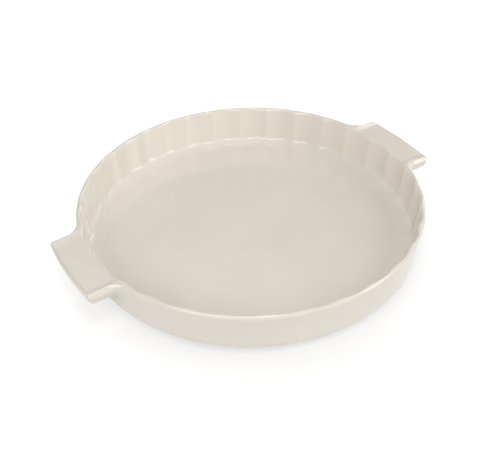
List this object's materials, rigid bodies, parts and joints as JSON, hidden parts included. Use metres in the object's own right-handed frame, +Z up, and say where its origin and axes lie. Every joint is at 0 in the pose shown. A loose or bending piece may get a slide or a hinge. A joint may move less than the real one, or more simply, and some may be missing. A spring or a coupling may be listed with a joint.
{
  "type": "tart dish",
  "caption": "Round shallow tart dish in glazed stoneware, with a smooth leaning outer wall, a fluted inner wall, a flat floor and a flat tab handle with a shallow thumb dip on each side.",
  "frame": {"origin": "middle of the foot, on the table", "axes": "+X along the handles, towards the right handle; +Z up, out of the dish"},
  "size_m": [0.3442, 0.3, 0.043],
  "materials": {
    "glazed_stoneware": "glossy ecru glaze over stoneware"
  },
  "bodies": {
    "root": {"dish_body": "glazed_stoneware", "left_handle": "glazed_stoneware", "right_handle": "glazed_stoneware"}
  },
  "joints": []
}
